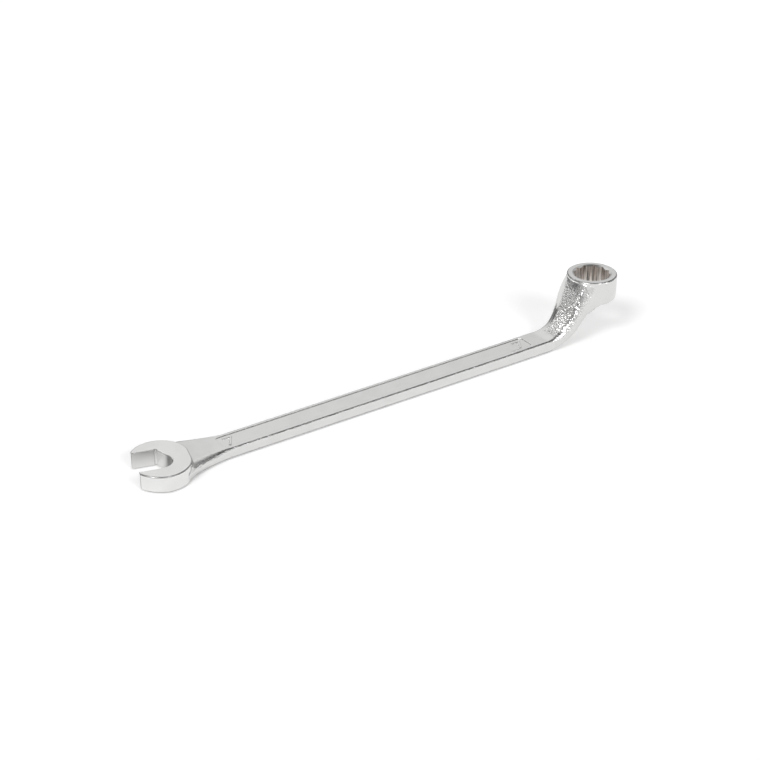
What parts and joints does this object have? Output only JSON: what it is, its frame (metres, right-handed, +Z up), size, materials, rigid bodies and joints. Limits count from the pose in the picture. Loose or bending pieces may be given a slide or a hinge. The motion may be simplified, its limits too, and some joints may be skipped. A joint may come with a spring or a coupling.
{
  "type": "combination wrench",
  "caption": "Offset combination wrench: an angled open jaw at one end of a slim sunk-panel shank and a raised twelve-point ring at the other.",
  "frame": {"origin": "below the centre of the nut held in the open jaw, in the plane of the jaw's underside", "axes": "+X runs along the shank from the jaw to the ring, +Z is up, towards the side that the ring is raised to, and +Y is the side that the jaw's mouth is turned to"},
  "size_m": [0.1169, 0.014, 0.0141],
  "materials": {
    "satin_chrome": "satin chrome plate over drop-forged tool steel"
  },
  "bodies": {
    "root": {"open_end": "satin_chrome", "shank": "satin_chrome", "ring_neck": "satin_chrome", "ring_end": "satin_chrome"}
  },
  "joints": []
}
